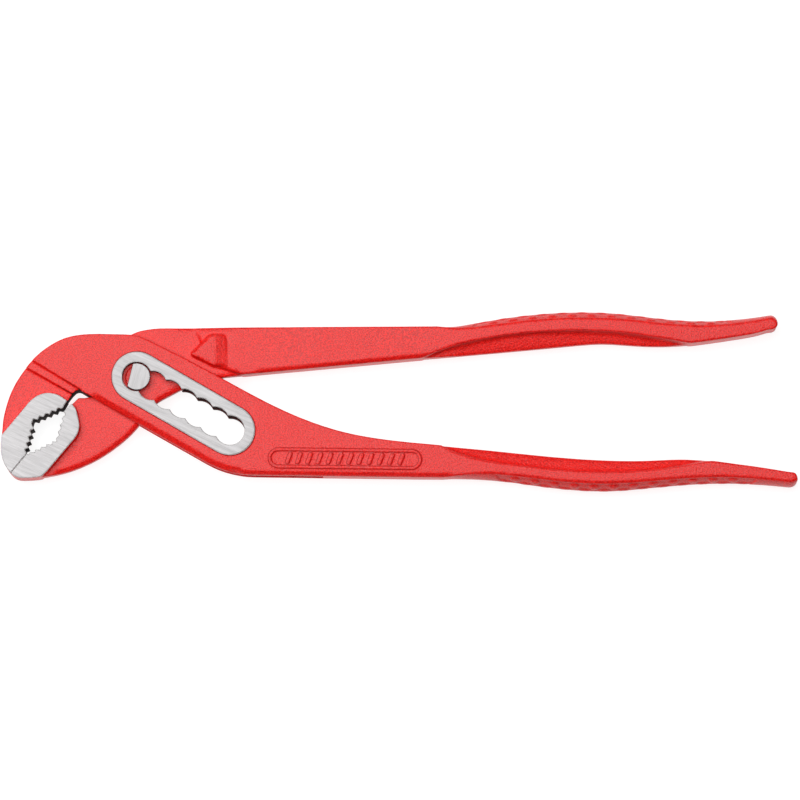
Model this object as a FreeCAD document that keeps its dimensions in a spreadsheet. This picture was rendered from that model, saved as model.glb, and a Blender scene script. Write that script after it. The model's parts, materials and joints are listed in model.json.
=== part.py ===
import FreeCAD, Part
import math
import os

import Sketcher
from FreeCAD import Vector

# Box-joint water pump pliers, 250 mm class, seven positions, jaws closed.
# Frame: the tool lies flat. X runs from the joint towards the handle ends, Y across the handles,
# Z up through the thickness. The origin is on the joint pin's axis, in the plane of the rear ground
# faces. Every forging is symmetric about its mid-plane, so each body is drawn about its own XY plane
# and is lifted by half the joint's thickness.

# ---------------------------------------------------------------- driving dimensions, mm and degrees

DIMENSIONS = {
    # half thicknesses, measured from the mid-plane
    "ground_half": 5.6,        # bare ground faces: slot rim and jaw pads
    "plate_half": 5.2,         # coated cheek plates and handle flanges
    "ledge_half": 4.4,         # first step down towards the upper jaw
    "field_half": 3.5,         # field behind the upper jaw pad
    "cheek_gap_half": 2.5,     # half the gap between the cheek plates
    "waist_half": 2.4,         # the inner arm where it runs in that gap
    "shoulder_half": 4.4,      # the inner arm's handle beside the joint
    "web_half": 2.6,           # web of the T-section handles
    "panel_half": 5.45,        # raised panel border and ribs
    # the slot
    "slot_pitch": 5.63,
    "slot_count": 7,
    "slot_slope": 30.0,        # below the X axis
    "lobe_radius": 4.6,
    "rim_radius": 7.8,
    # the joint pin
    "pin_core_radius": 3.4,
    "pin_bore_radius": 3.45,
    "pin_lock_radius": 4.22,
    "pin_flat": 2.17,          # from the pin axis to the flat
    "pin_flat_heading": 166.0,
    "pin_end_gap": 0.04,       # between the core's ends and the locks
    # the gap between the cheek plates, in the XY plane
    "gap_head_radius": 15.9,   # its end in the head, round the first lobe
    "gap_head_end": 201.5,     # where that arc ends, seen from the first lobe
    "opening_limit": 75.0,     # the inner arm's widest swing, where it meets that end
    "gap_reach": 32.3,         # its end past the last lobe, along the slot
    # jaws
    "contact_slope": 50.7,
    "jaw_gap": 0.04,
    "tooth_count": 5,
    "tooth_depth_long": 1.2,
    "tooth_depth_short": 0.9,
    "tooth_depth_throat": 0.8,
    # raised panel on the slotted arm's handle
    "panel_length": 48.0,
    "panel_width": 6.2,
    "panel_border": 0.8,
    "panel_heading": -0.7,
    "rib_count": 12,
    "rib_pitch": 3.2,
    "rib_lean": 70.0,
    "rib_half_length": 1.35,   # between the centres of its rounded ends
    "rib_half_width": 0.55,
}

doc = FreeCAD.newDocument("water_pump_pliers")
sheet = doc.addObject("Spreadsheet::Sheet", "dims")
for row, (alias, value) in enumerate(DIMENSIONS.items(), start=1):
    sheet.set("A%d" % row, alias)
    sheet.set("B%d" % row, str(value))
    sheet.setAlias("B%d" % row, alias)
doc.recompute()


def dim(alias):
    """The value of one cell of the sheet."""
    return float(sheet.get(alias))


def heading(angle, length=1.0):
    """A vector in the XY plane, its angle in degrees from +X."""
    turn = math.radians(angle)
    return Vector(length * math.cos(turn), length * math.sin(turn), 0)


def vec(point):
    return Vector(point[0], point[1], 0)


# ---------------------------------------------------------------- outlines
# An outline is a start point and a list of steps. Each step is a tuple: its kind, then its points.
#   line  end
#   arc   through, end
#   curve headings, point, ..., end     one smooth curve through all the points, which leaves its
#                                       start and reaches its end at the two headings


def saw_teeth(start, end, count, depth, lean):
    """Points of a row of teeth from start to end, as line steps.

    The crests point to the right of the walk, and lean is where each lies within its pitch.
    """
    a = vec(start)
    along = vec(end).sub(a).multiply(1.0 / count)
    across = Vector(along.y, -along.x, 0).normalize().multiply(depth)
    steps = []
    for tooth in range(count):
        root = a.add(Vector(along).multiply(tooth))
        crest = root.add(Vector(along).multiply(lean)).add(across)
        foot = root.add(along)
        steps.append(("line", (crest.x, crest.y)))
        steps.append(("line", (foot.x, foot.y)))
    return steps


# ---------------------------------------------------------------- document helpers


def find_plane(body, role):
    for feature in body.Origin.OriginFeatures:
        if feature.Role == role:
            return feature
    raise RuntimeError("no plane " + role)


def new_body(name):
    body = doc.addObject("PartDesign::Body", name)
    body.Label = name
    body.setExpression("Placement.Base.z", "dims.ground_half")
    return body


def new_sketch(body, name, geometry, plane="XY_Plane", level=None):
    """A sketch on one of the body's own planes, lifted to a cell's height if one is named."""
    sketch = body.newObject("Sketcher::SketchObject", name)
    sketch.AttachmentSupport = [(find_plane(body, plane), "")]
    sketch.MapMode = "FlatFace"
    if level:
        sketch.setExpression("AttachmentOffset.Base.z", level)
    sketch.addGeometry(geometry, False)
    return sketch


def bind_circle(sketch, index, alias):
    """Hold a circle on the sketch's origin, its radius taken from a cell."""
    sketch.addConstraint(Sketcher.Constraint("Coincident", index, 3, -1, 1))
    sketch.addConstraint(Sketcher.Constraint("Radius", index, dim(alias)))
    last = sketch.ConstraintCount - 1
    sketch.setExpression("Constraints[%d]" % last, "dims." + alias)


def pad_both(body, name, geometry, half):
    """Material from the outline to the same height above and below the mid-plane."""
    pad = body.newObject("PartDesign::Pad", name)
    pad.Profile = new_sketch(body, name + "_outline", geometry)
    pad.SideType = "Symmetric"
    pad.setExpression("Length", "2 * dims." + half)
    doc.recompute()
    return pad


def cut_both(body, name, geometry, half=None):
    """A cut centred on the mid-plane, or right through."""
    cut = body.newObject("PartDesign::Pocket", name)
    cut.Profile = new_sketch(body, name + "_outline", geometry)
    cut.SideType = "Symmetric"
    if half:
        cut.setExpression("Length", "2 * dims." + half)
    else:
        cut.setExpression("Length", "4 * dims.ground_half")
    checked_cut(body, cut)
    return cut


def cut_faces(body, name, geometry, floor):
    """The same cut in the front and the rear face, down to a cell's height from the mid-plane."""
    for tag, sign in (("front", 1), ("rear", -1)):
        level = "dims.%s" % floor if sign > 0 else "-dims.%s" % floor
        cut = body.newObject("PartDesign::Pocket", "%s_%s" % (name, tag))
        cut.Profile = new_sketch(body, "%s_%s_outline" % (name, tag), geometry, level=level)
        cut.Reversed = sign > 0
        cut.setExpression("Length", "2 * dims.ground_half")
        checked_cut(body, cut)


def checked_cut(body, cut):
    """A pocket that points away from the solid removes nothing, so its volume is compared."""
    before = cut.BaseFeature.Shape.Volume if cut.BaseFeature else body.Shape.Volume
    doc.recompute()
    if not cut.Shape.Volume < before - 0.01:
        raise RuntimeError("%s removes nothing" % cut.Name)


def trace(start, steps):
    """Edges of an outline, as Part curves with their ends."""
    curves = []
    here = vec(start)
    for kind, *points in steps:
        if kind == "curve":
            (first_heading, last_heading), *points = points
        points = [vec(p) for p in points]
        end = points[-1]
        if kind == "line":
            curves.append(Part.LineSegment(here, end))
        elif kind == "arc":
            curves.append(Part.Arc(here, points[0], end))
        else:
            spline = Part.BSplineCurve()
            spline.interpolate(
                Points=[here] + points,
                InitialTangent=heading(first_heading),
                FinalTangent=heading(last_heading),
            )
            curves.append(spline)
        here = end
    return curves


def rounded(before, corner, after, radius):
    """Steps to an arc that rounds a corner between two straight sides: a line, then the arc."""
    a = vec(before).sub(vec(corner)).normalize()
    b = vec(after).sub(vec(corner)).normalize()
    half_angle = a.getAngle(b) / 2
    reach = radius / math.tan(half_angle)
    middle = a.add(b).normalize().multiply(radius / math.sin(half_angle) - radius)
    start = vec(corner).add(Vector(a).multiply(reach))
    end = vec(corner).add(Vector(b).multiply(reach))
    through = vec(corner).add(middle)
    return [("line", (start.x, start.y)), ("arc", (through.x, through.y), (end.x, end.y))]


# ---------------------------------------------------------------- shared lines of the two arms

CHEEK_CORNER = (28.75, -30.84)      # where the cheek's lower edge and the handle's would meet
HANDLE_UNDERSIDE = (86.0, -31.6)

NOSE = (-39.4, -30.4)               # outer end of the line where the jaws meet
JAW_HEEL = (-34.35, -24.22)          # its inner end

UPPER_TEETH_START = (-35.1, -22.95)
UPPER_TEETH_TURN = (-32.9, -15.0)   # end of the row of long teeth
UPPER_TEETH_CORNER = (-32.35, -13.35)
UPPER_TEETH_END = (-24.67, -9.87)   # end of the row of short teeth, but for a last crest
UPPER_LAST_CREST = (-23.3, -10.2)
UPPER_PAD_WALL = (-21.8, -7.6)      # where the pad's edge meets the smooth wall
UPPER_WALL_TOP = (-18.75, -3.75)    # the wall's own corner, before rounding
UPPER_PAD_SIDE = (-42.35, -18.5)    # where the pad's edge meets the outside of the head

tooth_count = int(dim("tooth_count"))
upper_teeth = [("line", UPPER_TEETH_START)]
upper_teeth += saw_teeth(UPPER_TEETH_START, UPPER_TEETH_TURN, tooth_count - 1,
                         dim("tooth_depth_long"), lean=0.38)
upper_teeth += [("line", UPPER_TEETH_CORNER)]
upper_teeth += saw_teeth(UPPER_TEETH_CORNER, UPPER_TEETH_END, tooth_count - 1,
                         dim("tooth_depth_short"), lean=0.53)
upper_teeth += [("line", UPPER_LAST_CREST)]

upper_nose = [("curve", (265.5, 310), (-42.5, -23.2), (-41.5, -27.3), NOSE)]


def slotted_arm_outline():
    """The slotted arm, walked from the jaw's nose through the bite and out along the handle."""
    wall = rounded(UPPER_PAD_WALL, UPPER_WALL_TOP, CHEEK_CORNER, radius=1.6)
    bend = rounded(UPPER_WALL_TOP, CHEEK_CORNER, HANDLE_UNDERSIDE, radius=31.0)
    return NOSE, [
        ("line", JAW_HEEL),
        *upper_teeth,
        ("line", UPPER_PAD_WALL),
        *wall,
        *bend,
        ("line", HANDLE_UNDERSIDE),
        ("curve", (0, -6), (100, -31.75), (112, -32.35), (125, -34.1), (137, -35.45), (149, -35.8),
         (160, -34.9), (172, -33.8), (185, -33.35), (196, -33.7), (204.5, -34.45)),
        ("arc", (206.5, -33.9), (207.2, -32.8)),
        ("line", (207.3, -32.0)),
        ("arc", (206.8, -30.9), (205.3, -30.35)),
        ("curve", (170, 180), (192, -28.05), (182, -26.55), (172, -25.7), (160, -26.1), (150, -26.1),
         (130, -24.85), (110, -22.8), (90, -21.05), (75, -19.35), (65, -17.4), (55, -14.3),
         (45, -10.1), (35, -5.0), (25, 0.5), (15, 5.85), (5, 10.9), (-3.5, 13.4)),
        ("line", (-12, 13.6)),
        ("curve", (180, 265.5), (-17.5, 13.35), (-22.4, 12.35), (-27.2, 10.0), (-32, 6.2), (-36.6, 0.55),
         (-40.05, -6.1), (-41.9, -13), UPPER_PAD_SIDE),
        *upper_nose,
    ]


def upper_pad_outline():
    """The ground face of the upper jaw."""
    return NOSE, [
        ("line", JAW_HEEL),
        *upper_teeth,
        ("line", UPPER_PAD_WALL),
        ("curve", (146, 232), (-24.4, -5.85), (-27.2, -5.15), (-30.3, -5.6), (-33.3, -7.6),
         (-35.4, -10.1)),
        ("line", UPPER_PAD_SIDE),
        *upper_nose,
    ]


# the lower jaw meets the upper one along its contact line, a hair apart
across_contact = heading(dim("contact_slope") - 90, dim("jaw_gap"))
LOWER_NOSE = (NOSE[0] + across_contact.x, NOSE[1] + across_contact.y)
LOWER_HEEL = (JAW_HEEL[0] + across_contact.x, JAW_HEEL[1] + across_contact.y)
LOWER_TEETH_START = (-21.75, -9.9)
LOWER_TEETH_CORNER = (-24.85, -20.6)
LOWER_TEETH_END = (-33.6, -24.75)
LOWER_PAD_WALL = (-20.45, -8.45)
LOWER_PAD_UNDERSIDE = (-29.8, -31.45)

SHOULDER_FOOT = (27.7, 0.25)        # where the handle's lower edge leaves the waist
SHOULDER_CORNER = (33.2, 0.775)     # from here on the handle has its full thickness
WEB_START_UPPER = (101.5, 6.9)
SHOULDER_TOP = (18.0, 15.65)
PALM_START_UPPER = (93.0, 15.98)

lower_teeth = saw_teeth(LOWER_TEETH_START, LOWER_TEETH_CORNER, tooth_count,
                        dim("tooth_depth_throat"), lean=0.6)
lower_teeth += saw_teeth(LOWER_TEETH_CORNER, LOWER_TEETH_END, tooth_count,
                         dim("tooth_depth_short"), lean=0.7)
lower_teeth += [("line", LOWER_HEEL)]

lower_nose = [("curve", (310, 10), (-37.6, -31.65), (-35.4, -31.95), (-32.4, -31.8),
               LOWER_PAD_UNDERSIDE)]

upper_handle_edge = [
    ("line", (91, 6.15)),
    ("line", WEB_START_UPPER),
    ("curve", (5.5, 25), (114, 8.0), (126.5, 9.15), (139, 10.35), (146, 10.75), (153, 10.4),
     (160, 9.95), (170, 10.15), (180, 11.35), (190, 12.9), (198.3, 15.1)),
    ("arc", (201.3, 17.8), (199.4, 20.0)),
    ("curve", (190, 181), (190, 18.7), (181, 18.15), (171, 18.35), (161, 19.35), (150, 20.6),
     (140, 21.0), (130, 20.65), (120, 19.7), (110, 18.15), (102, 16.6), PALM_START_UPPER),
    ("line", SHOULDER_TOP),
]


def inner_arm_outline():
    """The inner arm, walked from its nose under the jaw and out along the handle."""
    return LOWER_NOSE, [
        *lower_nose,
        ("curve", (10, 9), (-24, -30.4), (-17.8, -28.4), (-11.5, -25.3), (-5.2, -20.9),
         (0.4, -15.4), (3.1, -11.6), (6.3, -7.9), (9.9, -5.9), (13.4, -4.0), (20, -1.4),
         SHOULDER_FOOT),
        ("line", SHOULDER_CORNER),
        *upper_handle_edge,
        ("line", (10, 15.65)),
        ("curve", (180, 204), (6.5, 15.6), (3.0, 15.2), (0, 14.5), (-2.5, 13.4)),
        ("arc", (-12.2, 6.9), (-13.8, -5.86)),
        ("line", (-16.3, -6.4)),
        ("arc", (-17.4, -6.4), (-18.3, -6.3)),
        ("line", LOWER_PAD_WALL),
        ("line", LOWER_TEETH_START),
        *lower_teeth,
        ("line", LOWER_NOSE),
    ]


def lower_pad_outline():
    """The ground face of the lower jaw."""
    return LOWER_NOSE, [
        *lower_nose,
        ("line", (-28.0, -29.8)),
        ("line", (-19.8, -20.0)),
        ("curve", (50, 135), (-18.4, -17.8), (-17.95, -15.2), (-18.6, -11.8), LOWER_PAD_WALL),
        ("line", LOWER_TEETH_START),
        *lower_teeth,
        ("line", LOWER_NOSE),
    ]


def thick_handle_outline():
    """The upper handle from its shoulders outwards."""
    return SHOULDER_CORNER, [
        *upper_handle_edge,
        ("line", (21.5, 8.0)),
        ("line", (24.3, 3.6)),
        ("line", SHOULDER_CORNER),
    ]


def guard_outline():
    """The pinch guard: a wedge beside the cheek plates that keeps the handles apart."""
    return (24.7, 3.5), [
        ("line", (27.4, 3.6)),
        ("arc", (28.1, 3.9), (28.4, 4.7)),
        ("line", (27.9, 11.9)),
        ("arc", (27.6, 12.9), (26.7, 13.3)),
        ("line", (24.0, 13.35)),
        ("arc", (23.0, 13.2), (22.3, 12.7)),
        ("line", (17.4, 7.9)),
        ("arc", (17.1, 7.2), (17.4, 6.8)),
        ("line", (23.9, 3.65)),
        ("arc", (24.3, 3.5), (24.7, 3.5)),
    ]


# ---------------------------------------------------------------- the slot

slot_heading = heading(-dim("slot_slope"))
last_lobe = Vector(slot_heading).multiply(dim("slot_pitch") * (dim("slot_count") - 1))


def lobe_centre(index):
    return Vector(slot_heading).multiply(dim("slot_pitch") * index)


def lobed_slot():
    """The slot: overlapping round lobes in a row, one for each position of the pin."""
    radius = dim("lobe_radius")
    count = int(dim("slot_count"))
    slope = -dim("slot_slope")
    cusp = math.degrees(math.acos(dim("slot_pitch") / 2 / radius))
    arcs = []
    for side in (1, -1):
        for index in range(count):
            nearest = cusp if index < count - 1 else 0
            farthest = 180 - cusp if index > 0 else 180
            ends = [lobe_centre(index).add(heading(slope + side * turn, radius))
                    for turn in (nearest, (nearest + farthest) / 2, farthest)]
            arcs.append(Part.Arc(*ends))
    return arcs


def stadium(start, end, radius):
    """A slot shape: two half circles and the straights between them."""
    along = end.sub(start).normalize()
    across = Vector(-along.y, along.x, 0).multiply(radius)
    tip = Vector(along).multiply(radius)
    return [
        Part.LineSegment(start.sub(across), end.sub(across)),
        Part.Arc(end.sub(across), end.add(tip), end.add(across)),
        Part.LineSegment(end.add(across), start.add(across)),
        Part.Arc(start.add(across), start.sub(tip), start.sub(across)),
    ]


def polygon(*points):
    corners = [vec(p) for p in points]
    return [Part.LineSegment(a, b) for a, b in zip(corners, corners[1:] + corners[:1])]


def cheek_gap():
    """Plan of the gap between the cheek plates, open at both long edges.

    In the head it ends in an arc, then in a straight wall that the inner arm's back lies along
    when the tool is fully open.
    """
    stop_length = 13            # past the head's upper edge
    far_half_width = 32         # past both long edges of the cheeks
    clear_of_lip = Vector(-1.2, -2.0, 0)
    clear_below = Vector(12.8, -30, 0)
    radius = dim("gap_head_radius")
    stop = dim("opening_limit")
    last = dim("gap_head_end")
    turn = heading(90 + stop, radius)
    top = turn.add(heading(stop, stop_length))
    bottom = heading(last, radius)
    bottom_out = bottom.add(clear_of_lip)
    low_out = bottom.add(clear_below)
    far = last_lobe.add(Vector(slot_heading).multiply(dim("gap_reach")))
    square = heading(90 - dim("slot_slope"), far_half_width)
    far_top = far.add(square)
    far_bottom = far.sub(square)
    return [
        Part.Arc(turn, heading((90 + stop + last) / 2, radius), bottom),
        *[Part.LineSegment(a, b) for a, b in (
            (bottom, bottom_out), (bottom_out, low_out), (low_out, far_bottom),
            (far_bottom, far_top), (far_top, top), (top, turn))],
    ]


# ---------------------------------------------------------------- slotted arm

# two steps down from the cheek plates to the field of the upper jaw: each one's first side is the
# step's edge, and the rest lies in the bite or outside the head
LEDGE = [(-45, 12.55), (-17.2, -4.33), (-16.9, -6.5), (-22, -14), (-60, -14)]
FIELD = [(-45, 8.7), (-20.1, -5.4), (-19, -7.5), (-22, -14), (-30, -40), (-60, -40)]

# the web of the handle's T-section: its border with the flange, then a box past its free edge
SLOTTED_WEB_START = (94, -19.5)
SLOTTED_WEB = [
    ("curve", (-62, 25), (101.8, -24.4), (111.5, -26.9), (121, -28.3), (131, -29.4), (141, -30.0),
     (150, -30.15), (160, -29.7), (170, -28.2), (180, -26.4), (185, -24.5)),
    ("line", (185, -15)),
    ("line", (94, -15)),
    ("line", SLOTTED_WEB_START),
]

PANEL_CENTRE = (65.3, -25.85)


def add_panel(body):
    """A raised border on each side of the handle, with plain slanted ribs in it."""
    centre = vec(PANEL_CENTRE)
    along = heading(dim("panel_heading"))
    half_width = dim("panel_width") / 2
    reach = Vector(along).multiply(dim("panel_length") / 2 - half_width)
    ends = (centre.sub(reach), centre.add(reach))
    border = stadium(*ends, half_width) + stadium(*ends, half_width - dim("panel_border"))
    pad_both(body, "panel_border", border, "panel_half")
    ribs = []
    lean = heading(dim("rib_lean"), dim("rib_half_length"))
    count = int(dim("rib_count"))
    for index in range(count):
        offset = (index - (count - 1) / 2) * dim("rib_pitch")
        middle = centre.add(Vector(along).multiply(offset))
        ribs += stadium(middle.sub(lean), middle.add(lean), dim("rib_half_width"))
    pad_both(body, "panel_ribs", ribs, "panel_half")


def make_slotted_arm():
    body = new_body("slotted_arm")
    pad_both(body, "arm_blank", trace(*slotted_arm_outline()), "plate_half")
    cut_faces(body, "ledge", polygon(*LEDGE), "ledge_half")
    cut_faces(body, "field", polygon(*FIELD), "field_half")

    pad_both(body, "upper_jaw_pad", trace(*upper_pad_outline()), "ground_half")
    pad_both(body, "slot_rim", stadium(Vector(), last_lobe, dim("rim_radius")), "ground_half")
    cut_faces(body, "web", trace(SLOTTED_WEB_START, SLOTTED_WEB), "web_half")
    add_panel(body)
    cut_both(body, "slot", lobed_slot())
    cut_both(body, "cheek_gap", cheek_gap(), "cheek_gap_half")
    return body


# ---------------------------------------------------------------- inner arm

INNER_WEB_START = (85, 3.6)
INNER_WEB = [
    ("curve", (28, -10), (90.5, 6.4), (95.2, 8.3), (102.4, 10.5), (109.6, 12.1), (116.8, 13.2),
     (124, 13.95), (131.2, 14.35), (138.5, 14.5), (145.4, 14.35), (152.9, 13.8), (160.4, 12.8),
     (168.3, 11.5), (176, 10.1)),
    ("line", (176, 1)),
    ("line", (85, 1)),
    ("line", INNER_WEB_START),
]

RAMP_START = 17.0                   # where the handle begins to thicken out of the waist
RAMP_END = 30.0
GUARD_FLAT_END = 24.6               # the guard is level up to here, then slopes to the handle
GUARD_FOOT = 28.2


def taper_faces(body, name, profile):
    """A cut right across the arm in Y, its outline drawn in the XZ plane, above and below."""
    for tag, sign in (("front", 1), ("rear", -1)):
        cut = body.newObject("PartDesign::Pocket", "%s_%s" % (name, tag))
        corners = [Vector(x, sign * z, 0) for x, z in profile]
        sides = [Part.LineSegment(a, b) for a, b in zip(corners, corners[1:] + corners[:1])]
        cut.Profile = new_sketch(body, "%s_%s_outline" % (name, tag), sides, plane="XZ_Plane")
        cut.SideType = "Symmetric"
        cut.setExpression("Length", "20 * dims.ground_half")
        checked_cut(body, cut)


def make_inner_arm():
    body = new_body("inner_arm")
    pad_both(body, "arm_blank", trace(*inner_arm_outline()), "waist_half")
    pad_both(body, "handle", trace(*thick_handle_outline()), "plate_half")

    # the handle's thickness: out of the waist on a ramp, then a slow taper up to the flange
    clear = dim("ground_half") + 1
    ramp_foot = dim("waist_half") + 0.2
    before = RAMP_START - 5
    flange = WEB_START_UPPER[0]
    taper_faces(body, "handle_taper", [
        (before, ramp_foot), (RAMP_START, ramp_foot), (RAMP_END, dim("shoulder_half")),
        (flange, dim("plate_half")), (flange, clear), (before, clear)])

    pad_both(body, "pinch_guard", trace(*guard_outline()), "plate_half")
    taper_faces(body, "guard_slope", [
        (GUARD_FLAT_END, dim("plate_half")), (GUARD_FOOT, dim("shoulder_half") - 0.05),
        (GUARD_FOOT + 0.4, dim("shoulder_half")), (GUARD_FOOT + 0.8, clear),
        (GUARD_FLAT_END, clear)])

    pad_both(body, "lower_jaw_pad", trace(*lower_pad_outline()), "ground_half")
    cut_faces(body, "web", trace(INNER_WEB_START, INNER_WEB), "web_half")

    bore = body.newObject("PartDesign::Pocket", "pin_bore")
    circle = [Part.Circle(Vector(), Vector(0, 0, 1), dim("pin_bore_radius"))]
    bore.Profile = new_sketch(body, "pin_bore_outline", circle)
    bind_circle(bore.Profile[0], 0, "pin_bore_radius")
    bore.SideType = "Symmetric"
    bore.setExpression("Length", "4 * dims.waist_half")
    checked_cut(body, bore)
    return body


# ---------------------------------------------------------------- joint pin


def make_pin_core():
    """The round middle of the pin, which turns in the waist's bore."""
    body = new_body("pin_core")
    pad = body.newObject("PartDesign::Pad", "dowel")
    circle = [Part.Circle(Vector(), Vector(0, 0, 1), dim("pin_core_radius"))]
    pad.Profile = new_sketch(body, "dowel_outline", circle)
    bind_circle(pad.Profile[0], 0, "pin_core_radius")
    pad.SideType = "Symmetric"
    pad.setExpression("Length", "2 * (dims.waist_half - dims.pin_end_gap)")
    return body


def make_pin_lock(name, side):
    """A D-shaped end of the pin. Its flat lets it pass the slot's necks at one angle only."""
    body = new_body(name)
    radius = dim("pin_lock_radius")
    half_turn = math.degrees(math.acos(dim("pin_flat") / radius))
    middle = dim("pin_flat_heading")
    low = heading(middle + half_turn, radius)
    high = heading(middle - half_turn, radius)
    outline = [Part.Arc(low, heading(middle + 180, radius), high), Part.LineSegment(high, low)]
    lock = body.newObject("PartDesign::Pad", "d_end")
    level = "dims.waist_half" if side > 0 else "-dims.waist_half"
    lock.Profile = new_sketch(body, "d_end_outline", outline, level=level)
    lock.Reversed = side < 0
    lock.setExpression("Length", "dims.ground_half - dims.waist_half")
    return body


parts = [
    make_slotted_arm(),
    make_inner_arm(),
    make_pin_core(),
    make_pin_lock("pin_lock_front", 1),
    make_pin_lock("pin_lock_rear", -1),
]
doc.recompute()

for item in doc.Objects:
    if "Invalid" in item.State or "Error" in item.State:
        raise RuntimeError("%s failed: %s" % (item.Label, item.State))

os.makedirs("parts", exist_ok=True)
for part in parts:
    shape = part.Shape
    if shape.isNull() or not shape.isValid() or len(shape.Solids) != 1:
        raise RuntimeError("%s is not one valid solid" % part.Label)
    shape.exportStep("parts/%s.step" % part.Label)
    print("%-16s %9.1f mm3" % (part.Label, shape.Volume))
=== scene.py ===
import json
import math

import bpy
import numpy as np
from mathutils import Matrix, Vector


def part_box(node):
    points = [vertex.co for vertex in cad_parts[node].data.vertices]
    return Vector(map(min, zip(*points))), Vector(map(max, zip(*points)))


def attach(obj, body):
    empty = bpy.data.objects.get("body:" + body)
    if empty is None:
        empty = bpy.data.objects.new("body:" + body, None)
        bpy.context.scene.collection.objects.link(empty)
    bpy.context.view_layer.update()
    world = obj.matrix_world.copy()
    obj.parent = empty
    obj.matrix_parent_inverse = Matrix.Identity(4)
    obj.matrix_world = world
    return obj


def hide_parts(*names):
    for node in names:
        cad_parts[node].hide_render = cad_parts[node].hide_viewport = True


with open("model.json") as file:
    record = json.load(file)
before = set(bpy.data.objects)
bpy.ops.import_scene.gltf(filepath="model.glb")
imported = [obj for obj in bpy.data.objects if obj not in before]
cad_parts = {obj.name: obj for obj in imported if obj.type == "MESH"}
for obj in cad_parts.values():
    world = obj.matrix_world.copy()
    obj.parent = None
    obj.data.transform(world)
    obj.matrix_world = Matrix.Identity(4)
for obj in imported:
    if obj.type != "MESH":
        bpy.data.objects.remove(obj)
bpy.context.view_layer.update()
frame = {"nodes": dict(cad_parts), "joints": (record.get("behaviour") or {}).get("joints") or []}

# Water pump pliers with box joint, lying flat: two drop-forged arms in red powder coat, with the jaw
# faces and the slot's rim ground bare, and a steel pin. Lengths are in millimetres unless a name
# says otherwise, heights are measured from the forgings' mid-plane, and the frame is in metres.

MM = 0.001

LOW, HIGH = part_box("slotted_arm")
MID = (LOW.z + HIGH.z) / 2 / MM              # height of the mid-plane
GROUND = (HIGH.z - LOW.z) / 2 / MM           # half thickness over the ground faces
PLATE = GROUND - 0.4                         # half thickness over the coated faces
GAP = 2.5                                    # half of the gap between the cheek plates
WAIST = 2.4                                  # half thickness of the inner arm's waist and jaw

slot_joint = next(j for j in frame["joints"] if j["type"] == "slide")
SLOT_AXIS = np.array(slot_joint["axis"][:2])
SLOT_LENGTH = slot_joint["range_m"][1] / MM

BITE_HEEL = np.array((-34.35, -24.22))       # the two ends of the jaws' opening
BITE_THROAT = np.array((-18.75, -3.75))
BITE_REACH = 5.5                             # how far the teeth's walls lie from the line between them
SLOT_REACH = 5.2                             # how far the slot's walls lie from its axis
PAD_END = 39.25                              # no ground face lies beyond this X

VOXEL = 0.2          # cell of the arms' skins
PIN_VOXEL = 0.1                              # cell of the pin's skin
CELL = 0.25                                  # cell of the height maps
BELOW_ALL = -1e9                             # lower than any edge
MAX_TRIANGLES = 190000                       # in one piece

EDGE_RADIUS = 0.5                            # rounding of the forgings' edges
HANDLE_RADIUS = 0.8                          # more of it on the handles
SHOULDER_RADIUS = 1.6                        # slope from the inner arm's handle to its waist
STUD_RADIUS = 0.18                           # rounding of the grip's fine shapes
PIN_RADIUS = 0.22
CRISP = 0.05                                 # share of the rounding left on ground and raised faces
CRISP_MARGIN = 0.5                           # how far round those faces it stays so low
CHAMFER_CLEARANCE = 0.1                      # what the cheeks' chamfers leave beside the gap

# How far each palm's edges draw in, at stations along X.
SLOTTED_PALM = ((96, 0.0), (104, 1.2), (112, 2.0), (125, 2.5), (150, 2.6), (161, 2.2), (185, 2.05),
                (194, 1.7), (206, 1.3))
INNER_PALM = ((94, 0.0), (100, 0.9), (106, 1.9), (116, 2.5), (145, 2.6), (156, 2.2), (180, 2.05),
              (190, 1.7), (201, 1.3))

COAT_GLOSS = 0.38                            # specular level of the powder coat
COAT_RELIEF = 0.00013                        # height of its grain, in metres
PIN_RELIEF = 0.000008                        # height of the grinding lines on the pin, in metres
PAD_LINES_TURN, PIN_LINES_TURN = -24, 76     # the grinding lines' directions, in degrees

RED_LIGHT, RED_DARK = (1.0, 0.017, 0.011, 1), (0.56, 0.001, 0.001, 1)
RED_CLOUD = (0.84, 0.006, 0.004, 1)
RED_PANEL_EDGE_SHADE = (0.4, 0.004, 0.003, 1)            # painted shade on the low walls of the raised panel's border and ribs
RED_RIM_SHADE = (0.07, 0.006, 0.004, 1)           # painted shade: a dark line on the low walls round the ground faces
STEEL_DARK, STEEL_LIGHT = (0.15, 0.146, 0.147, 1), (0.27, 0.264, 0.266, 1)
STEEL_EDGE_HIGHLIGHT = (0.7, 0.69, 0.69, 1)            # painted highlight on the rounded edges of the ground faces, for the light they catch
# near-black painted shade for the walls of the teeth and the slot and for inside the cheeks' gap
WALL_SHADE_DARK, WALL_SHADE_LIGHT = (0.010, 0.003, 0.002, 1), (0.035, 0.012, 0.009, 1)
TABLE_DARK, TABLE_LIGHT = (0.24, 0.24, 0.24, 1), (0.26, 0.26, 0.26, 1)
WHITE = (1, 1, 1, 1)
TABLE_GLOW, WORLD_GLOW = 0.85, 0.05
SOFTBOX_POWER = 18.5                         # in watts


# ---------------------------------------------------------------- mesh tools


def remeshed(node, voxel=VOXEL):
    """A fine, even skin over a CAD node, ready to be shaped point by point."""
    source = bpy.data.objects.new("source", frame["nodes"][node].data.copy())
    bpy.context.scene.collection.objects.link(source)
    modifier = source.modifiers.new("skin", "REMESH")
    modifier.mode = "VOXEL"
    modifier.voxel_size = voxel * MM
    mesh = bpy.data.meshes.new_from_object(source.evaluated_get(bpy.context.evaluated_depsgraph_get()))
    bpy.data.objects.remove(source)
    return mesh


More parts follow.
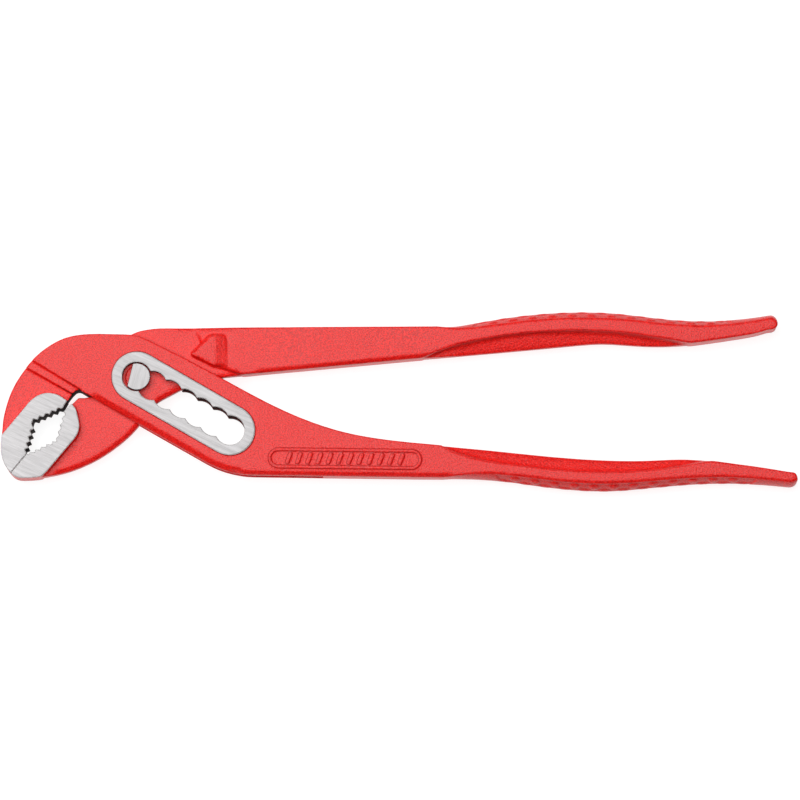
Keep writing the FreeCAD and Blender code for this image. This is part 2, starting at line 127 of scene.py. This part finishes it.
def read_points(mesh):
    """Points in millimetres, their heights from the mid-plane."""
    points = np.empty(len(mesh.vertices) * 3)
    mesh.vertices.foreach_get("co", points)
    points = points.reshape(-1, 3) / MM
    points[:, 2] -= MID
    return points


def write_points(mesh, points):
    placed = points.copy()
    placed[:, 2] += MID
    mesh.vertices.foreach_set("co", (placed * MM).ravel())
    mesh.update()


def read_normals(mesh):
    normals = np.empty(len(mesh.vertices) * 3)
    mesh.vertex_normals.foreach_get("vector", normals)
    return normals.reshape(-1, 3)


def relax(mesh, points, softness, radius, voxel=VOXEL, axes=(0, 1, 2)):
    """Rounds edges to about this radius where softness is 1, and less where it is lower.

    With axes=(2,) only heights are smoothed, so the outline stays as it is.
    """
    pace, passes, spread = 0.5, 4, 1.36      # the radius is spread * voxel * sqrt(rounds / passes)
    edges = np.empty(len(mesh.edges) * 2, dtype=np.int64)
    mesh.edges.foreach_get("vertices", edges)
    a, b = edges.reshape(-1, 2).T
    count = len(points)
    degree = np.bincount(a, minlength=count) + np.bincount(b, minlength=count)
    pull = pace * softness / degree
    rounds = int(round(passes * (radius / spread / voxel) ** 2))
    for _ in range(rounds):
        for k in axes:
            total = np.bincount(a, points[b, k], count) + np.bincount(b, points[a, k], count)
            points[:, k] += pull * (total - degree * points[:, k])


def ramp(value, low, high):
    """0 below low, 1 above high, smooth between."""
    share = np.clip((value - low) / (high - low), 0, 1)
    return share * share * (3 - 2 * share)


def edge_depth(points, side, start, end):
    """How far each point lies inside the arm's lower (side -1) or upper (side 1) edge, and where
    along X that holds. The edge is read off the arm itself."""
    step, side_bins = 0.5, 3
    window = 2 * side_bins + 1
    bins = ((points[:, 0] - start) / step).astype(int)
    held = (points[:, 0] >= start) & (points[:, 0] < end)
    outermost = np.full(int((end - start) / step), BELOW_ALL)
    np.maximum.at(outermost, bins[held], side * points[held, 1])
    middles = start + step * (np.arange(len(outermost)) + 0.5)
    padded = np.pad(outermost, side_bins, mode="edge")
    smooth = np.convolve(padded, np.ones(window) / window, mode="valid")
    slope = np.gradient(smooth, step)
    edge = np.interp(points[:, 0], middles, smooth)
    lean = np.interp(points[:, 0], middles, slope)
    return (edge - side * points[:, 1]) / np.sqrt(1 + lean ** 2), held


def fading_ends(points, start, end, fade_in):
    """1 along a stretch of X, fading to 0 at both its ends."""
    return ramp(points[:, 0], start, start + fade_in) * ramp(-points[:, 0], -end, fade_in - end)


def chamfer(points, start, end, width, drop, half, keep):
    """Lowers both faces along the lower edge, from nothing at this width inside it to drop at it.

    Heights up to keep stay as they are, and half is the height of the faces.
    """
    depth, held = edge_depth(points, -1, start, end)
    ends = fading_ends(points, start, end, fade_in=3)
    near = held & (depth < width) & (np.abs(points[:, 2]) > keep)
    lowered = drop * ends[near] * (1 - np.clip(depth[near], 0, width) / width)
    height = np.abs(points[near, 2])
    scale = (half - lowered - keep) / (half - keep)
    points[near, 2] = np.sign(points[near, 2]) * (keep + (height - keep) * scale)


def crown(points, side, start, end, palm):
    """Curves a palm across its width: its middle stays, and its edges draw in by the bulge."""
    reach = 6.0
    stations, bulge = zip(*palm)
    depth, held = edge_depth(points, side, start, end)
    near = held & (depth < reach)
    across = np.clip(np.abs(points[near, 2]) / PLATE, 0, 1)
    inward = np.interp(points[near, 0], stations, bulge) * across ** 2
    inward *= 1 - np.clip(depth[near], 0, reach) / reach
    points[near, 1] -= side * inward


def draft_web(points, side, start, end, width):
    """Makes a handle's web thick at its root and thin at its free edge, as forgings are."""
    root, edge = 1.05, 0.55
    beyond_root, thickest_half = 1.5, 3.2
    depth, held = edge_depth(points, side, start, end)
    ends = fading_ends(points, start, end, fade_in=12)
    near = held & (depth < width + beyond_root) & (np.abs(points[:, 2]) < thickest_half)
    scale = edge + (root - edge) * np.clip(depth[near] / width, 0, 1)
    points[near, 2] *= 1 + (scale - 1) * ends[near]


def soften_steps(points, start, end, low, high, reach):
    """Cuts the sharp steps of both faces back to short slopes, inside a box in X and Y."""
    fill_passes, skin_depth, above_waist = 12, 0.5, 0.1
    faces = (points[:, 0] > start) & (points[:, 0] < end)
    faces &= (points[:, 1] > low) & (points[:, 1] < high)
    faces &= np.abs(points[:, 2]) > WAIST + above_waist
    spots = (points[faces, :2] - (start, low)) / CELL
    spots_x, spots_y = spots.astype(int).T
    heights = np.zeros((int((end - start) / CELL) + 2, int((high - low) / CELL) + 2))
    np.maximum.at(heights, (spots_x, spots_y), np.abs(points[faces, 2]))
    shifts = [(dx, dy) for dx in (-1, 0, 1) for dy in (-1, 0, 1)]
    for _ in range(fill_passes):
        around = sum(np.roll(heights, shift, axis=(0, 1)) for shift in shifts)
        held = sum(np.roll(heights > 0, shift, axis=(0, 1)).astype(int) for shift in shifts)
        heights = np.where(heights > 0, heights, around / np.maximum(held, 1))
    for _ in range(int(round((reach / CELL) ** 2 / 2))):
        heights = sum(np.roll(heights, shift, axis=(0, 1)) for shift in shifts) / len(shifts)
    old = points[faces, 2]
    smooth = np.minimum(heights[spots_x, spots_y], np.abs(old))
    moved = np.abs(old) > smooth - skin_depth
    points[faces, 2] = np.where(moved, np.sign(old) * smooth, old)


def grip(points, normals, side, start, end, first_stud):
    """Sinks a panel with notched ends into a palm and raises rows of round studs in it.

    The panel is shallow along the palm's middle and reaches its full depth from deep_from outwards.
    """
    sunk, shallow, middle_half, deep_from = 0.45, 0.2, 0.8, 2.0
    half_width, notch, border = 4.5, 2.4, 0.3
    stud_radius, pitch, row_gap = 1.6, 6.22, 2.75
    last_of_side_row, last_of_middle_row = 11, 12
    least_facing = 0.3
    x, z = points[:, 0], np.abs(points[:, 2])
    facing = side * normals[:, 1]
    on_palm = (facing > least_facing) & (x > start - 1) & (x < end + 1)
    from_end = np.minimum(x - start, end - x) - notch * (1 - np.clip(z / half_width, 0, 1))
    inside = ramp(from_end, 0, border) * ramp(half_width - z, 0, border)
    depth = sunk * (shallow + (1 - shallow) * ramp(z, middle_half, deep_from)) * inside
    lift = -depth
    side_row = (x - first_stud) / pitch
    middle_row = side_row + 0.5
    for row, height, last in ((side_row, row_gap, last_of_side_row),
                              (middle_row, 0.0, last_of_middle_row)):
        nearest = np.clip(np.round(row), 0, last)
        away = np.hypot((row - nearest) * pitch, z - height)
        lift += depth * np.clip(1 - (away / stud_radius) ** 4, 0, 1)
    points[on_palm] += normals[on_palm] * lift[on_palm, None]


def near_raised_faces(points):
    """True on all that stands proud of the coated faces, on its walls and close round them."""
    border, spare_cells, proud = 2, 10, 0.1
    corner = points[:, :2].min(0) - border
    cells = ((points[:, :2] - corner) / CELL).astype(int)
    marked = np.zeros(cells.max(0) + spare_cells, dtype=bool)
    raised = np.abs(points[:, 2]) > PLATE + proud
    marked[cells[raised, 0], cells[raised, 1]] = True
    spread = marked.copy()
    steps = int(CRISP_MARGIN / CELL)
    for dx in range(-steps, steps + 1):
        for dy in range(-steps, steps + 1):
            spread |= np.roll(marked, (dx, dy), axis=(0, 1))
    return spread[cells[:, 0], cells[:, 1]]


def finished_piece(name, mesh, body):
    """An object made from a shaped skin, its flat stretches thinned out."""
    piece = bpy.data.objects.new(name, mesh)
    bpy.context.scene.collection.objects.link(piece)
    triangles = 2 * len(mesh.polygons)
    if triangles > MAX_TRIANGLES:
        thin = piece.modifiers.new("thin", "DECIMATE")
        thin.ratio = MAX_TRIANGLES / triangles
        thinned = bpy.data.meshes.new_from_object(
            piece.evaluated_get(bpy.context.evaluated_depsgraph_get()))
        piece.modifiers.clear()
        piece.data = thinned
    piece.data.shade_smooth()
    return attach(piece, body)


def paint(piece, material):
    piece.data.materials.clear()
    piece.data.materials.append(material)


# ---------------------------------------------------------------- materials


class Graph:
    """Short ways to add and join a material's nodes."""

    def __init__(self, name):
        self.material = bpy.data.materials.new(name)
        self.material.use_nodes = True
        self.tree = self.material.node_tree
        self.shader = self.tree.nodes["Principled BSDF"]

    def node(self, kind, **settings):
        made = self.tree.nodes.new(kind)
        for key, value in settings.items():
            setattr(made, key, value)
        return made

    def put(self, socket, value):
        if isinstance(value, bpy.types.NodeSocket):
            self.tree.links.new(value, socket)
        else:
            socket.default_value = value

    def math(self, operation, *values):
        made = self.node("ShaderNodeMath", operation=operation)
        for socket, value in zip(made.inputs, values):
            self.put(socket, value)
        return made.outputs[0]

    def fade(self, value, low, high):
        """0 at low, 1 at high."""
        made = self.node("ShaderNodeMapRange")
        for key, given in (("Value", value), ("From Min", low), ("From Max", high)):
            self.put(made.inputs[key], given)
        return made.outputs["Result"]

    def mix(self, share, a, b):
        """Colours or numbers a and b, as b's share goes from 0 to 1."""
        is_colour = isinstance(b, tuple) or (hasattr(b, "type") and b.type == "RGBA")
        made = self.node("ShaderNodeMix", data_type="RGBA" if is_colour else "FLOAT")
        ends = [s for s in made.inputs if s.enabled and s.name in ("A", "B")]
        self.put(made.inputs[0], share)
        self.put(ends[0], a)
        self.put(ends[1], b)
        return next(s for s in made.outputs if s.enabled)

    def noise(self, vector, scale, detail=2.0, roughness=0.5):
        made = self.node("ShaderNodeTexNoise")
        self.put(made.inputs["Vector"], vector)
        for key, value in (("Scale", scale), ("Detail", detail), ("Roughness", roughness)):
            self.put(made.inputs[key], value)
        return made.outputs["Fac"]

    def object_coordinates(self):
        return self.node("ShaderNodeTexCoord").outputs["Object"]

    def stretched(self, vector, turn, along, across):
        """Coordinates turned about Z, then scaled along and across."""
        made = self.node("ShaderNodeMapping", vector_type="TEXTURE")
        self.put(made.inputs["Vector"], vector)
        made.inputs["Rotation"].default_value = (0, 0, math.radians(turn))
        made.inputs["Scale"].default_value = (1 / along, 1 / across, 1 / across)
        return made.outputs["Vector"]

    def surface(self, colour, roughness, height, relief):
        """Colour, roughness and a fine relief this many metres high."""
        made = self.node("ShaderNodeBump")
        self.put(made.inputs["Height"], height)
        made.inputs["Distance"].default_value = relief
        made.inputs["Strength"].default_value = 1.0
        self.put(self.shader.inputs["Normal"], made.outputs["Normal"])
        self.put(self.shader.inputs["Base Color"], colour)
        self.put(self.shader.inputs["Roughness"], roughness)


def red_coat(graph, place):
    """Powder coat: its colour, roughness and surface height."""
    cloud_share, grain_share = 0.25, 0.6
    lowest_roughness, roughness_range = 0.26, 0.2
    grain_scale, orange_peel_scale, cloud_scale = 2500, 1900, 60
    dark_under, light_over = 0.38, 0.62
    grain = graph.noise(place, grain_scale)
    orange_peel = graph.noise(place, orange_peel_scale, detail=1.0)
    clouds = graph.fade(graph.noise(place, cloud_scale, detail=3.0), 0.3, 0.7)
    colour = graph.mix(graph.fade(grain, dark_under, light_over), RED_DARK, RED_LIGHT)
    colour = graph.mix(graph.math("MULTIPLY", clouds, cloud_share), colour, RED_CLOUD)
    roughness = graph.math("ADD", graph.math("MULTIPLY", grain, roughness_range), lowest_roughness)
    height = graph.math("ADD", graph.math("MULTIPLY", grain, grain_share), orange_peel)
    return colour, roughness, height


def ground_steel(graph, place, turn):
    """Bare ground steel with fine parallel lines: its colour, roughness and surface height."""
    broad_share = 0.6
    lowest_roughness, roughness_range = 0.26, 0.2
    dark_under, light_over = 0.5, 1.1
    lines = graph.noise(graph.stretched(place, turn, along=260, across=6200), 1.0, 3.0, 0.6)
    broad = graph.noise(graph.stretched(place, turn, along=60, across=900), 1.0)
    tone = graph.math("ADD", lines, graph.math("MULTIPLY", broad, broad_share))
    colour = graph.mix(graph.fade(tone, dark_under, light_over), STEEL_DARK, STEEL_LIGHT)
    roughness = graph.math("ADD", graph.math("MULTIPLY", lines, roughness_range), lowest_roughness)
    return colour, roughness, lines


def dot(graph, a, b, along):
    """The values a and b, each times its part of a direction, added up."""
    return graph.math("ADD", graph.math("MULTIPLY", a, along[0]), graph.math("MULTIPLY", b, along[1]))


def line_distance(graph, place, start, end):
    """Distance in the XY plane from a stretch between two points, in millimetres."""
    along = (end - start) / np.linalg.norm(end - start)
    split = graph.node("ShaderNodeSeparateXYZ")
    graph.put(split.inputs[0], place)
    dx = graph.math("SUBTRACT", split.outputs["X"], start[0] * MM)
    dy = graph.math("SUBTRACT", split.outputs["Y"], start[1] * MM)
    run = dot(graph, dx, dy, along)
    off = dot(graph, dx, dy, (along[1], -along[0]))
    length = float(np.linalg.norm(end - start)) * MM
    on_stretch = graph.math("MINIMUM", graph.math("MAXIMUM", run, 0.0), length)
    past = graph.math("SUBTRACT", run, on_stretch)
    squares = graph.math("ADD", graph.math("POWER", past, 2.0), graph.math("POWER", off, 2.0))
    return graph.math("MULTIPLY", graph.math("SQRT", squares), 1 / MM)


def band(graph, value, middle, softness):
    """1 well under the middle, 0 well over it, and a short fade between."""
    return graph.fade(value, middle + softness, middle - softness)


def arm_material(name, jaw_side, has_slot):
    """Red coat, bare steel on the ground faces, and painted light and shade: near-black on the walls
    of teeth and slot and inside the cheeks' gap, dark red on the low walls round raised faces, and
    light grey on the ground faces' rounded edges.

    jaw_side is 1 for the jaw above the bite and -1 for the one below it.
    """
    graph = Graph(name)
    place = graph.object_coordinates()
    split = graph.node("ShaderNodeSeparateXYZ")
    graph.put(split.inputs[0], place)
    height = graph.math("ABSOLUTE", graph.math("SUBTRACT", split.outputs["Z"], MID * MM))
    near_joint = band(graph, split.outputs["X"], PAD_END * MM, 0.25 * MM)
    bare_from, rim_from, rim_to = GROUND - 0.2, PLATE + 0.055, PLATE + 0.19
    above_rim = graph.fade(height, (rim_from - 0.025) * MM, (rim_from + 0.025) * MM)
    rim_shade = graph.math("MULTIPLY", above_rim, band(graph, height, rim_to * MM, 0.03 * MM))
    ground = graph.fade(height, (bare_from - 0.02) * MM, (bare_from + 0.02) * MM)
    ground = graph.math("MULTIPLY", ground, near_joint)

    normal = graph.node("ShaderNodeSeparateXYZ")
    graph.put(normal.inputs[0], graph.node("ShaderNodeTexCoord").outputs["Normal"])
    flatness = graph.math("ABSOLUTE", normal.outputs["Z"])
    upright = graph.fade(flatness, 0.75, 0.6)
    level = graph.fade(flatness, 0.85, 0.97)
    # Where the near-black painted shade goes: the teeth's walls facing into the bite, the slot's
    # walls, and inside the cheeks' gap beside the slot.
    bite = (BITE_THROAT - BITE_HEEL) / np.linalg.norm(BITE_THROAT - BITE_HEEL)
    into_bite = (bite[1] * jaw_side, -bite[0] * jaw_side)
    facing = dot(graph, normal.outputs["X"], normal.outputs["Y"], into_bite)
    in_bite = band(graph, line_distance(graph, place, BITE_HEEL, BITE_THROAT), BITE_REACH, 0.1)
    wall = graph.math("MULTIPLY", in_bite, graph.fade(facing, 0.0, 0.15))
    wall = graph.math("MULTIPLY", wall, upright)
    if has_slot:
        from_slot = line_distance(graph, place, np.zeros(2), SLOT_AXIS * SLOT_LENGTH)
        in_slot = graph.math("MULTIPLY", band(graph, from_slot, SLOT_REACH, 0.1), upright)
        cheek_inside = band(graph, height, (GAP + 0.09) * MM, 0.03 * MM)
        in_gap = graph.math("MULTIPLY", band(graph, from_slot, 8.0, 1.0), cheek_inside)
        wall = graph.math("MAXIMUM", wall, graph.math("MAXIMUM", in_slot, in_gap))
    below_edge = graph.fade(height, (GROUND - 0.35) * MM, (GROUND - 0.6) * MM)
    wall = graph.math("MULTIPLY", wall, below_edge)

    coat_colour, coat_roughness, coat_height = red_coat(graph, place)
    steel_colour, steel_roughness, steel_height = ground_steel(graph, place, PAD_LINES_TURN)
    wall_shade_scale, wall_roughness, rim_shade_share = 700, 0.9, 0.85
    # Painted shade: near-black, a little mottled, on those walls and inside the gap.
    wall_shade = graph.mix(graph.noise(place, wall_shade_scale, detail=3.0), WALL_SHADE_DARK, WALL_SHADE_LIGHT)
    # Painted shade: darker red on the low walls just above the coated faces, nearly black round the
    # ground faces and softer at the raised panel.
    rim_shade_colour = graph.mix(near_joint, RED_PANEL_EDGE_SHADE, RED_RIM_SHADE)
    coat_colour = graph.mix(graph.math("MULTIPLY", rim_shade, rim_shade_share), coat_colour, rim_shade_colour)
    # Painted highlight: light grey, not metallic, where the ground faces round over at their edges.
    steel_colour = graph.mix(level, STEEL_EDGE_HIGHLIGHT, steel_colour)
    colour = graph.mix(wall, graph.mix(ground, coat_colour, steel_colour), wall_shade)
    roughness = graph.mix(ground, coat_roughness, steel_roughness)
    roughness = graph.mix(wall, roughness, wall_roughness)
    bare = graph.math("MULTIPLY", ground, graph.math("SUBTRACT", 1.0, wall))
    graph.put(graph.shader.inputs["Metallic"], graph.math("MULTIPLY", bare, level))

    # The steel's lines are much shallower than the coat's grain, at the same middle height.
    line_share, middle_height = 0.12, 0.74
    lines = graph.math("MULTIPLY", steel_height, line_share)
    steel_height = graph.math("ADD", lines, middle_height)
    graph.surface(colour, roughness, graph.mix(ground, coat_height, steel_height), COAT_RELIEF)
    graph.shader.inputs["Specular IOR Level"].default_value = COAT_GLOSS
    return graph.material


def pin_material(name):
    """Bare ground steel on a pin's end."""
    graph = Graph(name)
    steel = ground_steel(graph, graph.object_coordinates(), PIN_LINES_TURN)
    graph.surface(*steel, PIN_RELIEF)
    graph.shader.inputs["Metallic"].default_value = 1.0
    return graph.material


def core_material():
    """The pin's middle is coated with the waist it turns in, because the tool is dipped whole."""
    graph = Graph("red_coat_core")
    graph.surface(*red_coat(graph, graph.object_coordinates()), COAT_RELIEF)
    graph.shader.inputs["Specular IOR Level"].default_value = COAT_GLOSS
    return graph.material


# ---------------------------------------------------------------- arms and pin


def finish_arm(mesh, points, crisp, handle, palm_side, grip_start, grip_end, first_stud):
    """Rounds an arm's edges, more where handle is 1, and shapes the grip on its palm."""
    relax(mesh, points, np.where(crisp, CRISP, 1.0), EDGE_RADIUS)
    relax(mesh, points, handle, HANDLE_RADIUS)
    write_points(mesh, points)
    grip(points, read_normals(mesh), palm_side, grip_start, grip_end, first_stud)
    relax(mesh, points, np.ones(len(points)), STUD_RADIUS)
    write_points(mesh, points)


def make_slotted_arm():
    mesh = remeshed("slotted_arm")
    points = read_points(mesh)
    chamfer(points, -15, 34, width=1.8, drop=1.3, half=PLATE, keep=GAP + CHAMFER_CLEARANCE)
    chamfer(points, 28, 100, width=1.1, drop=1.0, half=PLATE, keep=GAP + CHAMFER_CLEARANCE)
    draft_web(points, 1, 92, 183, width=3.8)
    crown(points, -1, 94, 207, SLOTTED_PALM)
    finish_arm(mesh, points, near_raised_faces(points), handle=ramp(points[:, 0], 95, 112),
               palm_side=-1, grip_start=112.2, grip_end=194.6, first_stud=118.6)
    piece = finished_piece("slotted_arm_forging", mesh, "slotted_arm")
    paint(piece, arm_material("coat_and_ground_steel", 1, True))
    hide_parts("slotted_arm")


def soften_shoulder(mesh, points, crisp):
    """Slopes the step from the inner arm's handle down to its waist, but not the guard on it.

    Material is only taken away, because the cheek plates pass close by.
    """
    shoulder = ramp(points[:, 0], 10, 13) * ramp(-points[:, 0], -38, -35)
    guard = ramp(np.abs(points[:, 2]), 4.2, 4.5)
    soften_steps(points, 14, 36, 0.5, 15, reach=0.6)
    before = np.abs(points[:, 2])
    relax(mesh, points, shoulder * (1 - guard) * ~crisp, SHOULDER_RADIUS, axes=(2,))
    points[:, 2] = np.clip(points[:, 2], -before, before)


def make_inner_arm():
    mesh = remeshed("inner_arm")
    points = read_points(mesh)
    chamfer(points, -27, 24, width=1.4, drop=0.9, half=WAIST, keep=0.8)
    chamfer(points, 36, 103, width=1.1, drop=1.0, half=PLATE, keep=GAP)
    draft_web(points, -1, 92, 175, width=4.2)
    crown(points, 1, 92, 201.5, INNER_PALM)
    crisp = near_raised_faces(points)
    handle = ramp(points[:, 0], 92, 106)
    soften_shoulder(mesh, points, crisp)
    finish_arm(mesh, points, crisp, handle,
               palm_side=1, grip_start=105.0, grip_end=187.2, first_stud=111.8)
    piece = finished_piece("inner_arm_forging", mesh, "inner_arm")
    paint(piece, arm_material("coat_and_ground_steel_inner", -1, False))
    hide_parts("inner_arm")


def make_pin_end(node, body):
    """A D-shaped end of the pin with its edges just broken."""
    mesh = remeshed(node, PIN_VOXEL)
    points = read_points(mesh)
    relax(mesh, points, np.ones(len(points)), PIN_RADIUS, PIN_VOXEL)
    write_points(mesh, points)
    piece = finished_piece(node + "_turned", mesh, body)
    paint(piece, pin_material("ground_steel_" + node))
    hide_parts(node)


# ---------------------------------------------------------------- studio


def make_floor():
    """A pale light table under the tool."""
    mesh = bpy.data.meshes.new("light_table")
    reach = 3.0
    corners = [(-reach, -reach, 0), (reach, -reach, 0), (reach, reach, 0), (-reach, reach, 0)]
    mesh.from_pydata(corners, [], [(0, 1, 2, 3)])
    floor = bpy.data.objects.new("light_table", mesh)
    bpy.context.scene.collection.objects.link(floor)
    graph = Graph("pale_table")
    tone = graph.fade(graph.noise(graph.object_coordinates(), 3.0), 0.3, 0.7)
    graph.put(graph.shader.inputs["Base Color"], graph.mix(tone, TABLE_DARK, TABLE_LIGHT))
    graph.shader.inputs["Roughness"].default_value = 0.7
    graph.shader.inputs["Emission Color"].default_value = WHITE
    graph.shader.inputs["Emission Strength"].default_value = TABLE_GLOW
    mesh.materials.append(graph.material)


def make_softbox():
    """One large square light overhead, a little towards the jaws, turned to the tool's middle."""
    place, middle, width = Vector((-0.2, 0.2, 1.15)), Vector((0.08, -0.01, 0)), 1.2
    data = bpy.data.lights.new("softbox_above", "AREA")
    data.shape = "RECTANGLE"
    data.size = data.size_y = width
    data.energy = SOFTBOX_POWER
    lamp = bpy.data.objects.new("softbox_above", data)
    lamp.location = place
    lamp.rotation_euler = (middle - place).to_track_quat("-Z", "Y").to_euler()
    bpy.context.scene.collection.objects.link(lamp)


def make_studio():
    make_floor()
    make_softbox()
    world = bpy.data.worlds.new("studio")
    world.use_nodes = True
    background = world.node_tree.nodes["Background"]
    background.inputs["Color"].default_value = WHITE
    background.inputs["Strength"].default_value = WORLD_GLOW
    bpy.context.scene.world = world
    bpy.context.scene.view_settings.view_transform = "Standard"


def make_camera():
    """A long lens, almost straight above, looking a little from the lower handle's side."""
    elevation = math.radians(84)
    target = Vector((82.57, -7.41, 11.2)) * MM
    lens, sensor, frame_width = 300, 36, 0.2508
    distance = frame_width * lens / sensor
    data = bpy.data.cameras.new("camera")
    data.lens, data.sensor_width = lens, sensor
    data.clip_end = 20
    camera = bpy.data.objects.new("camera", data)
    back = Vector((0, -math.cos(elevation), math.sin(elevation)))
    camera.location = target + back * distance
    camera.rotation_euler = (math.pi / 2 - elevation, 0, 0)
    bpy.context.scene.collection.objects.link(camera)
    bpy.context.scene.camera = camera


make_slotted_arm()
make_inner_arm()
make_pin_end("pin_lock_front", "inner_arm")
make_pin_end("pin_lock_rear", "inner_arm")
paint(frame["nodes"]["pin_core"], core_material())
make_studio()
make_camera()
